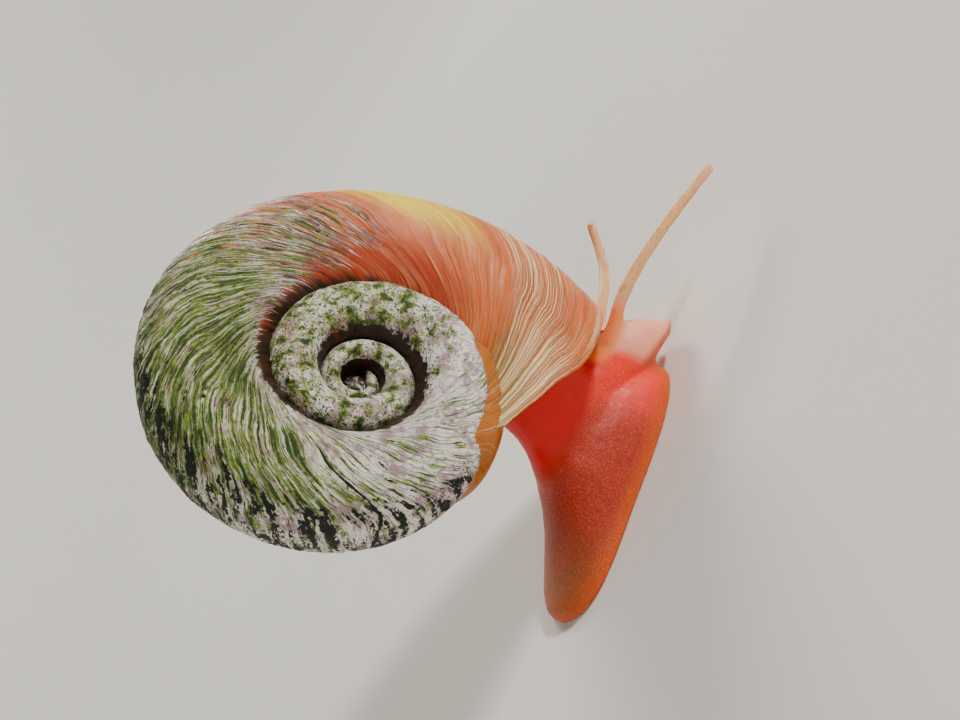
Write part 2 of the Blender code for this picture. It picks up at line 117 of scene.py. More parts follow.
HOLLOW_DEPTH = -0.85

# ---- covers of the shell
# Places are turns back from the lip, or degrees round the tube from its rim, positive on the
# right. A cover rises between two of them, and may fade out between two more.
CRUST_THIN_TURNS = (0.20, 0.26)
CRUST_THICK_TURNS = (0.24, 0.55)
CRUST_DELAY = 0.14  # it starts this much later at the seam
CRUST_DELAY_DEGREES = (95.0, 140.0)
CRUST_END_DEGREES = (124.0, 129.0)  # its edge at the seam, on outer and inner whorls
CRUST_END_TURNS = (0.95, 1.1)
CRUST_END_WIDTH = 27.0
INNER_TURNS_START = (0.92, 1.08)  # where the inner whorls begin
ALGAE_TURNS = (0.18, 0.36)
ALGAE_THIN_TURNS = (0.56, 0.80)
ALGAE_SIDE_DEGREES = (105.0, 130.0)
ALGAE_RIM_DEGREES = (20.0, 60.0)
ALGAE_RIM_TURNS = (0.50, 0.60)
ALGAE_INNER_TURNS = (1.0, 1.2)
ALGAE_APEX_TURNS = (1.45, 1.8)
# Dark patches along the rim: partly bare shell, partly painted shade on the rim.
BARE_DEGREES = (22.0, 74.0)
BARE_SHADED_RIM_TURNS = (0.26, 0.38)
BARE_LOW_TURNS = (0.36, 0.50, 0.76, 0.86)
CRACK_TURNS = 0.705  # a fine dark crack along the growth lines
CRACK_WIDTH = (0.0012, 0.0030)
CRACK_DEGREES = (-50.0, -20.0, 90.0, 112.0)
# Painted glow: light shining through the young shell at the rim, painted as bright yellow.
PAINTED_GLOW_TURNS = (0.10, 0.15, 0.195, 0.24)
PAINTED_GLOW_DEGREES = (-120.0, -50.0, 66.0, 104.0)
STROKE_LEAN = 2.2
STROKE_TURNS = (0.36, 0.62)
STROKE_DEGREES = (-60.0, 80.0)
CALLUS_EDGE = (-40.0, 66.0)  # its right edge, which climbs over these turns
CALLUS_EDGE_TURNS = (0.77, 0.86)
CALLUS_LEFT_DEGREES = (-165.0, -140.0)
CALLUS = ((0.765, 0.80, 0.99, 1.02), 7.0)  # its turns, and its thin right margin
CALLUS_SWELL = ((0.765, 0.84, 0.97, 1.0), 55.0)  # the same for its thickness
# Painted shade: dark brown in the sunken seam where the coil winds onto the older whorl.
SHADED_SEAM_DEGREES = (128.0, 148.0)
SHADED_SEAM_TURNS = (0.16, 0.42)
OLIVE_DEGREES = (96.0, 124.0)
OLIVE_TURNS = (0.07, 0.15)
EMBER_DEGREES = (78.0, 122.0)
EMBER_TURNS = (0.12, 0.24)
# Pale growth lines at the lip, in a band behind it that is partly painted highlight on glossy
# ridges, low on the lip as painted light, and in one line:
PALE_LIP_TURNS = (0.0, 0.030)
PALE_BAND_SHEEN_TURNS = (0.035, 0.050, 0.085, 0.115)
LOW_LIP_LIGHT_TURNS = (0.05, 0.09)
LOW_LIP_LIGHT_DEGREES = (60.0, 105.0)
PALE_LINE_TURNS = 0.205
PALE_LINE_WIDTH = (0.001, 0.004)
PALE_LINE_DEGREES = (35.0, 60.0, 110.0, 130.0)

# ---- shape of the flesh, in mm
SOLE_EDGE = 0.1  # the skin below this height is left flat
SOLE_FRONT = 7.65
SOLE_BACK = -11.2
SOLE_WIDEST = -2.0
SOLE_HALF_WIDTH = 3.85
TAIL_SWING = -0.6
FRONT_BLUNTNESS = 3.0
TAIL_BLUNTNESS = 4.2
FOOT_HEIGHT = 5.9
FOOT_TOP = -0.5
TAIL_HEIGHT = 0.85  # at the tail's tip, and how it rises from there
TAIL_RISE = 3.1
TAIL_CURVE = 4.8
FRONT_HEIGHT = 1.95  # the foot's thick front edge
FRONT_DOME = 0.45
MARGIN = 0.42
FOOT_DOME = 1.25
STALK_RINGS = [  # height, centre x and y, half length, half width
    (2.6, 0.5, -0.1, 4.9, 2.7),
    (4.6, 0.5, -0.1, 4.6, 2.5),
    (5.6, 0.75, -0.1, 3.95, 2.5),
    (6.8, 1.1, -0.05, 3.3, 2.6),
    (8.2, 1.3, 0.1, 2.95, 2.7),
    (9.5, 1.3, 0.3, 2.85, 2.8),
]
HEAD_RINGS = [  # centre x and z, half width, height above and depth below
    (3.4, 4.3, 2.25, 1.9, 1.9),
    (5.4, 3.9, 2.45, 1.8, 2.0),
    (7.2, 3.5, 2.65, 1.75, 2.2),
    (8.6, 2.75, 2.65, 1.3, 1.9),
    (9.6, 1.9, 2.3, 0.75, 1.2),
    (10.5, 1.35, 1.6, 0.5, 0.8),
]
HEAD_FULLNESS = 3.0  # superellipse power of the head's lower half
LOBE_CENTRE = (8.75, 1.2, 1.62)  # the velum, a lobe on each side of the mouth
LOBE_RADII = (1.9, 1.55, 0.42)
LOBE_CORNERS = 0.72  # power that squares the lobe's outline
LOBE_TILT = math.radians(5.0)
LOBE_CURL = math.radians(14.0)
TENTACLE_RIGHT = [
    (6.9, -1.3, 4.6), (8.4, -2.1, 5.5), (10.0, -2.6, 5.8), (12.2, -3.0, 5.75),
    (15.4, -3.4, 5.3), (18.6, -3.7, 4.6), (21.3, -4.0, 4.0),
]
TENTACLE_LEFT = [
    (7.4, 1.1, 3.9), (8.9, 2.0, 4.4), (10.7, 3.0, 4.55), (12.9, 4.0, 4.5),
    (15.1, 5.4, 4.6), (17.2, 6.6, 5.3), (18.9, 7.2, 6.5),
]
TENTACLE_BASE_RADIUS = 1.05
TENTACLE_MIDDLE_RADIUS = 0.49
TENTACLE_TIP_RADIUS = 0.34
TENTACLE_FLARE = 0.09  # the share of its length where it narrows
MANTLE_START = 0.018  # the mantle's edge, in turns behind the lip
MANTLE_END = 0.10
MANTLE_OVERLAP = 0.04  # its reach into the shell's wall
ROOT_PATHS = (  # the front and back of the orange root of each tentacle
    ((8.2, -2.2, 5.5), (5.6, -1.6, 5.5)),
    ((8.2, 1.6, 5.0), (5.6, 1.2, 5.2)),
)
SMOOTHED_ROOTS = ((8.0, -1.9, 5.2), (8.3, 1.7, 4.2), (5.2, 0.0, 5.0))
SMOOTHING = ((0.0, 3), (0.15, 14), (0.4, 22), (0.65, 20))  # least join weight, and times

# ---- stage, in metres
CAMERA_PLACE = (-0.022202, -0.058031, 0.030053)
CAMERA_HEADING = math.radians(68.0)  # from +X towards +Y
CAMERA_TILT = math.radians(-16.0)
CAMERA_ROLL = math.radians(58.585)  # the snail climbs upwards
SENSOR_WIDTH = 36.0  # in millimetres
BOWL_RADIUS = 0.40  # the floor curves up round its flat part
BOWL_ANGLE = math.radians(80.0)
LIGHT_TARGET = (0.0, 0.0, 0.015)
LIGHTS = (  # name, place, width, power in watts and tint
    ("key_light", (0.72, -0.50, 0.36), 0.30, 31.0, (1.0, 0.98, 0.95)),
    ("fill_light", (-0.70, -0.60, 0.45), 0.60, 2.2, (0.95, 0.97, 1.0)),
    ("back_light", (0.60, 0.65, 0.45), 0.40, 12.0, (1.0, 0.97, 0.92)),
)
AIR_BRIGHTNESS = 0.10


def linear(hex_colour):
    """sRGB hex to a linear RGBA colour."""
    channels = [int(hex_colour[i:i + 2], 16) / 255.0 for i in (0, 2, 4)]
    made = [c / 12.92 if c <= 0.04045 else ((c + 0.055) / 1.055) ** 2.4 for c in channels]
    return (*made, 1.0)


def colour(name, description, hex_colour):
    return FloatVectorProperty(
        name=name, description=description, subtype="COLOR", size=4,
        min=0.0, max=1.0, default=linear(hex_colour),
    )


def length(name, description, metres):
    return FloatProperty(name=name, description=description, default=metres, unit="LENGTH")


class SnailShellSettings(bpy.types.PropertyGroup):
    """Sizes and colours of the shell."""
    lip_wall: length("Lip wall", "Thickness of the shell at its lip", 0.00016)
    wall: length("Wall", "Thickness of the shell inside the mouth", 0.00040)
    line_height: length("Growth line height", "Height of the growth ridges", 0.00007)
    crust_height: length("Crust height", "Thickness of lime on the older whorls", 0.00010)
    ring_count: IntProperty(
        name="Points round", description="Points round the tube of the shell", default=112, min=24)
    step: length("Step", "Distance between growth stations at the rim", 0.000185)
    amber: colour("Amber", "Young shell over the red body", "dc660e")
    rust: colour("Rust", "Deeper bands of the young shell", "a8440a")
    ember: colour("Ember", "Young shell beside the older whorl", "ac2404")
    pink: colour("Pink", "Milky patches of the young shell", "e08a58")
    olive: colour("Olive", "Young shell at the seam", "8c6408")
    # Painted glow: bright yellow standing in for light shining through the young shell.
    painted_glow: colour("Glow", "Young shell with light behind it", "ffdc28")
    # Cream: pale growth lines, and also painted highlights on ridges behind the lip and painted
    # light on the low lip.
    cream_and_highlight: colour("Cream", "Pale growth lines", "ffdca4")
    tick: colour("Ticks", "Short dark dashes between growth lines", "501a04")
    stain: colour("Stain", "Old shell between flecks of lime", "5a3c30")
    moss: colour("Moss", "Old shell stained by algae", "3c3814")
    lime: colour("Lime", "Flecks of lime", "f6eeea")
    lilac: colour("Lilac", "Lime with a lilac cast", "b494a0")
    algae: colour("Algae", "Green algae on the crust", "4a7408")
    algae_pale: colour("Pale algae", "Thin algae over lime", "9cae28")
    algae_dark: colour("Dark algae", "Thick dark algae", "10180a")
    # Painted shade: dark brown standing in for the shade in the coil's seams and in the hollow
    # round the nucleus.
    seam_shade: colour("Groove", "Brown shell in the coil's seams", "2c160a")


class SnailFleshSettings(bpy.types.PropertyGroup):
    """Sizes and colours of the body."""
    voxel: length("Skin grain", "Size of the skin's mesh", 0.00012)
    coral: colour("Coral", "Skin of the foot's side", "a62a14")
    neck: colour("Neck", "Brighter skin below the head", "f0280e")
    # Painted shade: deep saturated red standing in for the shade under the shell, high on the stalk
    # and in the mouth.
    shade_red: colour("Deep red", "Blood-filled skin under the shell", "d40200")
    pale: colour("Pale", "Thin skin of the head", "ffa890")
    margin: colour("Margin", "Clear thin edge of the foot", "c45006")
    tail: colour("Tail", "Skin of the tail", "8c5a34")
    root: colour("Root", "Skin at the root of each tentacle", "ff8c34")
    tentacle: colour("Tentacle", "Thin clear skin of the tentacles", "e0ae74")
    speck: colour("Specks", "Fine pale glands in the skin", "ff8c70")
    eye: colour("Eye", "Black cup of the eye", "0b0707")


class SnailStageSettings(bpy.types.PropertyGroup):
    """Floor, lights and camera."""
    floor_radius: length("Floor radius", "Flat part of the floor", 0.30)
    floor: colour("Floor", "Pale matt floor", "eeebe4")
    lens: FloatProperty(name="Lens", description="Focal length in millimetres", default=38.03)


# ---- small helpers

def smoothstep(low, high, value):
    share = min(max((value - low) / (high - low), 0.0), 1.0)
    return share * share * (3.0 - 2.0 * share)


def between(rise, full, fade, end, value):
    """1 from full to fade, and 0 before rise and after end."""
    return smoothstep(rise, full, value) * (1.0 - smoothstep(fade, end, value))


def mix(a, b, share):
    return a + (b - a) * share


def signed_power(value, power):
    return math.copysign(abs(value) ** power, value)


def close_tube(bm, count, rows):
    """Weld the two sides of a grid into a tube, and close its ends."""
    width = count + 1
    seam = {bm.verts[row * width + count]: bm.verts[row * width] for row in range(rows)}
    bmesh.ops.weld_verts(bm, targetmap=seam)
    ends = [edge for edge in bm.edges if edge.is_boundary]
    caps = bmesh.ops.holes_fill(bm, edges=ends, sides=0)["faces"]
    bmesh.ops.poke(bm, faces=caps)


def smooth_object(name, bm, material):
    mesh = bpy.data.meshes.new(name)
    bm.to_mesh(mesh)
    bm.free()
    mesh.shade_smooth()
    mesh.materials.append(material)
    obj = bpy.data.objects.new(name, mesh)
    bpy.context.scene.collection.objects.link(obj)
    return obj


def finish_object(name, bm, material, nodes):
    """A bmesh in millimetres becomes a smooth piece in metres that rides on the body."""
    bmesh.ops.scale(bm, vec=(MM, MM, MM), verts=bm.verts)
    obj = smooth_object(name, bm, material)
    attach(obj, "root")
    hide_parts(*nodes)


def add_node(tree, kind, inputs=None, output=0, **settings):
    """Add a shader node, fill its inputs from sockets or values, and return one output."""
    node = tree.nodes.new("ShaderNode" + kind)
    for key, value in settings.items():
        setattr(node, key, value)
    for key, source in (inputs or {}).items():
        if isinstance(source, bpy.types.NodeSocket):
            tree.links.new(source, node.inputs[key])
        else:
            node.inputs[key].default_value = source
    return node.outputs[output]


def new_material(name, sockets):
    """A material with these values on the sockets of its Principled shader."""
    material = bpy.data.materials.new(name)
    material.use_nodes = True
    tree = material.node_tree
    shader = tree.nodes["Principled BSDF"]
    for socket, value in sockets.items():
        shader.inputs[socket].default_value = value
    return material, tree, shader


# ---- shell

def lag(angle, growth):
    """How far the growth line runs ahead of its outermost point, in radians."""
    limit = mix(LAG_LIMIT, LAG_LIMIT_GROWN, smoothstep(*LAG_LIMIT_TURNS, growth / math.tau))
    degrees = min(abs(math.degrees(angle)), limit)
    share = max(0.0, degrees - LAG_START) / LAG_SPAN
    lean = math.radians(LAG_ANGLE) * share ** LAG_POWER
    blend = 0.5 + 0.5 * math.sin(angle) / math.sin(math.radians(LAG_LIMIT))
    return lean * (FAR_LAG + (1.0 - FAR_LAG) * min(max(blend, 0.0), 1.0))


def tube_size(theta):
    """Distance from the axis, offset, half width, near depth and far depth of the tube."""
    turns = theta / math.tau
    size = EXPANSION ** -turns
    bend = min(max(1.0 - theta / math.pi, 0.0), 1.4) ** LIP_BEND_POWER
    distance = AXIS_DISTANCE * size * (1.0 - LIP_DRAW_IN * bend)
    offset = SPIRE_RISE * size - LIP_DROP * bend - SPIRE_SINK * max(0.0, turns - SINK_START)
    flare = LIP_FLARE * math.exp(-max(theta, 0.0) / FLARE_ANGLE)
    half_width = HALF_WIDTH * size + flare
    near = NEAR_DEPTH * size * NEAR_KEEP ** turns
    far = FAR_DEPTH * size
    return distance, offset, half_width, near, far


def section_point(theta, angle, inset):
    """Distance from the axis and offset of a point on the tube's skin."""
    distance, offset, half_width, near, far = tube_size(theta)
    upper = math.sin(angle) > 0.0
    power = 2.0 / (NEAR_FULLNESS if upper else FAR_FULLNESS)
    depth = (near if upper else far) - inset
    out = distance + (half_width - inset) * signed_power(math.cos(angle), power)
    side = offset + depth * signed_power(math.sin(angle), power)
    return out, side


def clear_of_older_whorl(theta, out, side, gap):
    """Move a point outwards until it clears the whorl that the tube winds round."""
    distance, offset, half_width, near, far = tube_size(theta + math.tau)
    upper = side > offset
    power = NEAR_FULLNESS if upper else FAR_FULLNESS
    depth = near if upper else far
    gap = max(gap, -0.25 * depth)  # the smallest whorls are welded less
    depth += gap
    share = abs(side - offset) / depth
    if share >= 1.0:
        return out
    edge = distance + (half_width + gap) * (1.0 - share ** power) ** (1.0 / power)
    return max(out, edge)


def shell_frame():
    """From the coil's own axes, with its axis along Z, to its place on the body."""
    turn = Matrix.Rotation(SHELL_TURN, 4, "Z")
    lean = Matrix.Rotation(SHELL_LEAN, 4, "X")
    spin = Matrix.Rotation(LIP_ANGLE, 4, "Z")
    return Matrix.Translation(SHELL_CENTRE) @ turn @ lean @ spin


def shell_point(place, growth, angle, inset, gap):
    """A point on the shell: its growth line leans, and it stays clear of the older whorl."""
    theta = growth - lag(angle, growth)
    out, side = section_point(theta, angle, inset)
    inner_side = smoothstep(*SEAM_GRIP_DEGREES, abs(math.degrees(angle)))
    out -= SEAM_GRIP * EXPANSION ** (-theta / math.tau) * inner_side
    out = clear_of_older_whorl(theta, out, side, gap)
    return place @ Vector((out * math.cos(theta), out * math.sin(theta), side))


def growth_ridges(along, angle):
    """Height of the growth lines, about -1 to 1, at a distance along the rim in mm."""
    drift = 0.35 * math.sin(angle) + 0.2 * math.cos(2.0 * angle)
    broad = noise.noise(Vector((along / 1.7, drift, 3.1)))
    ridge = noise.noise(Vector((along / 0.62, drift * 1.5, 7.7)))
    fine = noise.noise(Vector((along / 0.30, drift * 2.0, 1.3)))
    return 0.9 * broad + 0.9 * ridge - 0.5 * abs(fine)


def crust_cover(turns, degrees):
    """How much lime crust lies on the shell, from 0 on young shell to 1."""
    side = abs(degrees)
    reach = turns - CRUST_DELAY * smoothstep(*CRUST_DELAY_DEGREES, side)
    thin = smoothstep(*CRUST_THIN_TURNS, reach)
    thick = smoothstep(*CRUST_THICK_TURNS, reach)
    edge = mix(*CRUST_END_DEGREES, smoothstep(*CRUST_END_TURNS, turns))
    return (0.33 * thin + 0.67 * thick) * (1.0 - smoothstep(edge, edge + CRUST_END_WIDTH, side))


def algae_cover(turns, degrees):
    """How green the crust is."""
    side = abs(degrees)
    outer = smoothstep(*ALGAE_TURNS, turns) * (1.0 - 0.8 * smoothstep(*ALGAE_THIN_TURNS, turns))
    outer *= 1.0 - 0.35 * smoothstep(*ALGAE_SIDE_DEGREES, side)
    rim = 1.0 - smoothstep(*ALGAE_RIM_DEGREES, side)
    outer *= 1.0 - 0.55 * rim * smoothstep(*ALGAE_RIM_TURNS, turns)
    inner = 0.60 * smoothstep(*ALGAE_INNER_TURNS, turns)
    inner -= 0.15 * smoothstep(*ALGAE_APEX_TURNS, turns)
    return mix(outer, inner, smoothstep(*INNER_TURNS_START, turns))


def bare_and_shade_cover(turns, degrees):
    """How many dark patches lie along the rim, partly where old crust has come off and left dark
    shell, partly painted shade on the rim; and the crack.
    """
    rim = 1.0 - smoothstep(*BARE_DEGREES, abs(degrees))
    rim *= 0.5 * smoothstep(*BARE_SHADED_RIM_TURNS, turns) + 0.5 * between(*BARE_LOW_TURNS, turns)
    crack = 1.0 - smoothstep(*CRACK_WIDTH, abs(turns - CRACK_TURNS))
    return max(rim, 2.2 * crack * between(*CRACK_DEGREES, degrees))


def stroke_lean(turns, degrees):
    """How far the old crust's strokes are drawn back towards the rim, in mm."""
    right = 1.0 - smoothstep(*STROKE_DEGREES, degrees)
    return STROKE_LEAN * smoothstep(*STROKE_TURNS, turns) * right


def callus_cover(turns, degrees, along, margin):
    """Smooth shell laid on the older whorl inside the mouth, thinning over a right margin."""
    edge = mix(*CALLUS_EDGE, smoothstep(*CALLUS_EDGE_TURNS, turns))
    round_tube = between(*CALLUS_LEFT_DEGREES, edge - margin, edge, degrees)
    return between(*along, turns) * round_tube


def pale_line_and_light_cover(turns, degrees):
    """Where pale growth lines crowd: at the lip, in a band behind it that is partly painted
    highlight on glossy ridges, low on the lip as painted light shining through, and in one single
    line.
    """
    band = between(*PALE_BAND_SHEEN_TURNS, turns)
    lip = 1.0 - smoothstep(*PALE_LIP_TURNS, turns)
    low = smoothstep(*LOW_LIP_LIGHT_DEGREES, degrees) * (1.0 - smoothstep(*LOW_LIP_LIGHT_TURNS, turns))
    single = 1.0 - smoothstep(*PALE_LINE_WIDTH, abs(turns - PALE_LINE_TURNS))
    single *= between(*PALE_LINE_DEGREES, degrees)
    return max(0.9 * band, 0.75 * lip, 1.1 * low, single, 0.1)


def young_tones(turns, degrees, callus):
    """Painted glow where light shines through at the rim, painted shade in the sunken brown seam,
    and the pale lines with their painted highlights and painted light.
    """
    painted_glow = between(*PAINTED_GLOW_TURNS, turns) * between(*PAINTED_GLOW_DEGREES, degrees)
    seam = smoothstep(*SHADED_SEAM_DEGREES, abs(degrees)) * smoothstep(*SHADED_SEAM_TURNS, turns)
    return painted_glow, seam * (1.0 - callus), pale_line_and_light_cover(turns, degrees) * (1.0 - 0.6 * callus)


def young_tints(turns, degrees, callus):
    """Greenish shell beside the seam and on the callus, and redder shell further back."""
    olive = smoothstep(*OLIVE_DEGREES, degrees) * (1.0 - smoothstep(*OLIVE_TURNS, turns))
    ember = smoothstep(*EMBER_DEGREES, degrees) * smoothstep(*EMBER_TURNS, turns)
    return max(olive, 0.6 * callus), ember * (1.0 - callus), 0.0


def rim_radius(growth):
    distance, _, half_width, _, _ = tube_size(growth)
    return distance + half_width


def growth_stations(step):
    """Growth angles at an even distance along the rim, closer on the small inner whorls."""
    stations = [0.0]
    while stations[-1] < APEX_TURNS * math.tau:
        radius = rim_radius(stations[-1])
        spacing = step * mix(0.62, 1.0, smoothstep(2.0, 9.0, radius))
        stations.append(stations[-1] + spacing / radius)
    return stations


def shell_surface(settings):
    """The shell as one closed sheet: inside of the mouth, lip, and the coil to its apex."""
    place = shell_frame()
    count = settings.ring_count
    wall = settings.wall / MM
    lip_wall = settings.lip_wall / MM
    line_height = settings.line_height / MM
    crust_height = settings.crust_height / MM
    rows = []  # growth angle, inset from the outer skin, outside or inside
    for index in range(INNER_ROWS, 0, -1):
        growth = INNER_TURNS * math.tau * (index / INNER_ROWS) ** INNER_ROW_POWER
        rows.append((growth, mix(lip_wall, wall, smoothstep(0.0, 0.5, growth)), False))
    rows += [(growth, lip_wall * share, outside) for growth, share, outside in LIP_ROWS]
    rows += [(growth, 0.0, True) for growth in growth_stations(settings.step / MM)[1:]]

    bm = bmesh.new()
    along_layer, cover_layer, tone_layer, tint_layer = [
        bm.verts.layers.float_vector.new(name)
        for name in ("growth_place", "cover", "tone", "tint")]
    bmesh.ops.create_grid(bm, x_segments=count, y_segments=len(rows) - 1, size=1.0)
    bm.verts.ensure_lookup_table()
    along = 0.0
    before = rows[0][0]
    for row, (growth, inset, outside) in enumerate(rows):
        radius = rim_radius(max(growth, 0.0))
        along = along + abs(growth - before) * radius if outside else 0.0
        before = growth
        turns = growth / math.tau
        girth = tube_size(max(growth, 0.0))[2] * GIRTH
        scar = SCAR_DEPTH * math.exp(-((turns - SCAR_TURNS) / SCAR_WIDTH) ** 2)
        gap = -WELD if outside else inset
        for column in range(count + 1):
            angle = -math.pi + math.tau * column / count
            degrees = math.degrees(angle)
            relief = cover = callus = 0.0
            if outside:
                callus = callus_cover(turns, degrees, *CALLUS)
                cover = crust_cover(turns, degrees) * (1.0 - callus)
                strength = smoothstep(0.0, 0.02, turns) * mix(1.0, 0.75, cover)
                strength *= min(1.0, radius / FULL_RELIEF_RADIUS)
                relief = line_height * strength * growth_ridges(along, angle)
                relief = max(relief * (1.0 - callus) - scar, RELIEF_FLOOR)
                relief += CALLUS_THICKNESS * callus_cover(turns, degrees, *CALLUS_SWELL)
            point = shell_point(place, growth, angle, inset - relief, gap)
            if cover > 0.02:
                rough = noise.noise(point * 2.6) + 0.6 * noise.noise(point * 5.5)
                lift = crust_height * cover * (0.55 + 0.6 * rough)
                relief += lift * min(1.0, radius / FULL_CRUST_RADIUS)
                point = shell_point(place, growth, angle, inset - relief, gap)
            vert = bm.verts[row * (count + 1) + column]
            vert.co = point
            vert[along_layer] = (
                along - stroke_lean(turns, degrees), girth * angle / math.tau, turns)
            vert[cover_layer] = (
                cover, algae_cover(turns, degrees) * cover,
                bare_and_shade_cover(turns, degrees) * (1.0 - callus))
            vert[tone_layer] = young_tones(turns, degrees, callus)
            vert[tint_layer] = young_tints(turns, degrees, callus)
    close_tube(bm, count, len(rows))
    # The nucleus and the hollow's floor take the seams' painted shade.
    seam_shade_paint = {tone_layer: (0.0, 1.0, 0.0)}
    paint = {cover_layer: (0.30, 0.2, 0.0), **seam_shade_paint}
    add_chamber(bm, place, NUCLEUS_RADII, NUCLEUS_DEPTH, along_layer, paint)
    add_chamber(bm, place, HOLLOW_RADII, HOLLOW_DEPTH, along_layer, seam_shade_paint)
    bmesh.ops.recalc_face_normals(bm, faces=bm.faces)
    return bm


def add_chamber(bm, place, radii, depth, along_layer, paint):
    """A flattened ball in the middle of the coil; paint maps each layer to its value."""
    made = bmesh.ops.create_uvsphere(bm, u_segments=32, v_segments=20, radius=1.0)["verts"]
    bmesh.ops.scale(bm, vec=radii, verts=made)
    bmesh.ops.translate(bm, vec=(0.0, 0.0, depth), verts=made)
    for vert in made:
        vert[along_layer] = (vert.co.x, vert.co.y, NUCLEUS_TURNS)
        for layer, value in paint.items():
            vert[layer] = value
    bmesh.ops.transform(bm, matrix=place, verts=made)


def growth_noise(tree, place, across, along, detail):
    """Noise drawn out along the growth lines, with its grain across and along them in mm."""
    place = add_node(
        tree, "VectorMath", {0: place, 1: (1.0 / across, 1.0 / along, 0.0)}, operation="MULTIPLY")
    return add_node(
        tree, "TexNoise", {"Vector": place, "Scale": 1.0, "Detail": detail, "Roughness": 0.62})


def even_noise(tree, size, detail):
    """Noise of one grain size in every direction, in mm."""
    place = add_node(tree, "TexCoord", output="Object")
    scale = 1.0 / (size * MM)
    return add_node(
        tree, "TexNoise", {"Vector": place, "Scale": scale, "Detail": detail, "Roughness": 0.62})


def masked(tree, value, low, high, strength=1.0, pushes=()):
    """A soft mask where a value rises from low to high, times a strength.

    Each push is another value and its gain, added to the first.
    """
    for push, gain in pushes:
        value = add_node(tree, "Math", {0: push, 1: gain, 2: value}, operation="MULTIPLY_ADD")
    soft = add_node(
        tree, "MapRange", {0: value, 1: low, 2: high}, interpolation_type="SMOOTHSTEP")
    return add_node(tree, "Math", {0: soft, 1: strength}, operation="MULTIPLY")


def layered(tree, base, *coats):
    """Coats of colour over a base, each of them where its mask lets it show."""
    for coat, mask in coats:
        base = add_node(tree, "Mix", {0: mask, 6: base, 7: coat}, output=2, data_type="RGBA")
    return base


def painted(tree, layer):
    """The three amounts that a layer painted on the mesh holds."""
    amounts = add_node(tree, "Attribute", output="Vector", attribute_name=layer)
    return add_node(tree, "SeparateXYZ", {0: amounts}).node.outputs


def young_shell(tree, settings, place, tone, tint):
    """Horny amber shell, glossy and a little clear: bands, fine lines, dashes, milky patches."""
    painted_glow, seam, pale = tone
    olive, ember, _ = tint
    # A growth line takes a day or two and stands 0.05 mm from the next, so fine and lines are
    # drawn two or three times as coarse, to show. A band is a week or two of growth.
    bands = growth_noise(tree, place, 0.75, 14.0, 2.0)
    fine = growth_noise(tree, place, 0.11, 6.0, 2.0)
    lines = growth_noise(tree, place, 0.15, 9.0, 2.0)
    dashes = growth_noise(tree, place, 0.10, 0.75, 2.0)
    patches = growth_noise(tree, place, 1.9, 3.6, 2.0)

    # Painted glow where light shines through the rim, following the bands.
    lit = add_node(tree, "Math", {0: painted_glow, 1: bands}, operation="MULTIPLY")
    # Pale growth lines, partly painted highlight in the band behind the lip and painted light low
    # on the lip.
    cream_and_highlight = masked(tree, lines, 0.645, 0.69, 0.9, [(pale, 0.17)])
    thin = masked(tree, fine, 0.40, 0.32, 0.30)
    cream_and_highlight = add_node(tree, "Math", {0: cream_and_highlight, 1: thin}, operation="MAXIMUM")
    # Painted shade darkens the sunken seam to dark brown.
    seam_shade_strength = masked(tree, seam, 0.0, 0.5)
    colours = layered(
        tree, settings.amber,
        (settings.rust, masked(tree, bands, 0.44, 0.62, 0.6)),
        (settings.ember, masked(tree, ember, 0.0, 1.0, 0.8)),
        (settings.pink, masked(tree, patches, 0.50, 0.66, 0.40)),
        (settings.olive, masked(tree, olive, 0.0, 1.0, 0.85)),
        (settings.painted_glow, masked(tree, lit, 0.05, 0.60)),
        (settings.tick, masked(tree, fine, 0.56, 0.68, 0.35)),
        (settings.tick, masked(tree, dashes, 0.60, 0.67, 0.65)),
        (settings.cream_and_highlight, cream_and_highlight),
        (settings.seam_shade, masked(tree, seam, 0.75, 1.75, seam_shade_strength, [(patches, 1.6)])))
    height = add_node(tree, "Math", {0: fine, 1: 0.5, 2: cream_and_highlight}, operation="MULTIPLY_ADD")
    return colours, height


def old_shell(tree, settings, place, inner, cover):
    """Stained shell, dull and chalky: flecks of lime, strokes of algae, dark bare patches, crowded
    along the rim partly as painted shade.
    """
    crust, algae, bare_and_shade = cover
    # Lime settles in grains of 0.1 to 0.2 mm, along the growth lines while these still show and
    # every way on the worn inner whorls. Algae grow over them in tufts 0.4 to 0.7 mm across.
    flecks = add_node(tree, "Mix", {
        0: inner, 2: growth_noise(tree, place, 0.14, 0.80, 3.0), 3: even_noise(tree, 0.15, 3.0)})
    strokes = add_node(tree, "Mix", {
        0: inner, 2: growth_noise(tree, place, 0.40, 1.9, 2.0), 3: even_noise(tree, 0.70, 3.0)})
    grains = even_noise(tree, 0.36, 3.0)
    clouds = even_noise(tree, 1.5, 2.0)
    patches = growth_noise(tree, place, 0.62, 3.0, 4.0)

    lilac = masked(tree, clouds, 1.06, 0.82, 1.0, [(grains, 1.0)])
    lime = layered(
        tree, settings.lime,
        (settings.lilac, lilac),
        (settings.algae_pale, masked(tree, algae, 0.0, 1.0, 0.42)))
    limed = masked(tree, flecks, 0.45, 0.59, 1.0, [(algae, -0.07), (crust, 0.12)])
    green = layered(tree, settings.algae, (settings.algae_pale, masked(tree, grains, 0.47, 0.62)))
    growth = [(grains, 0.50), (flecks, 0.40), (algae, 0.13)]
    # Dark patches crowd along the rim: partly bare shell, partly painted shade.
    dark = masked(tree, patches, 0.86, 0.92, 1.0, [(bare_and_shade, 0.15), (grains, 0.45)])
    colours = layered(
        tree, settings.stain,
        (settings.moss, masked(tree, clouds, 0.42, 0.60)),
        (lime, limed),
        (green, masked(tree, strokes, 1.00, 1.08, 0.88, growth)),
        (settings.algae_dark, masked(tree, strokes, 1.09, 1.16, 0.85, growth)),
        (settings.algae_dark, dark))
    height = add_node(tree, "Math", {0: flecks, 1: 1.7, 2: grains}, operation="MULTIPLY_ADD")
    return colours, height


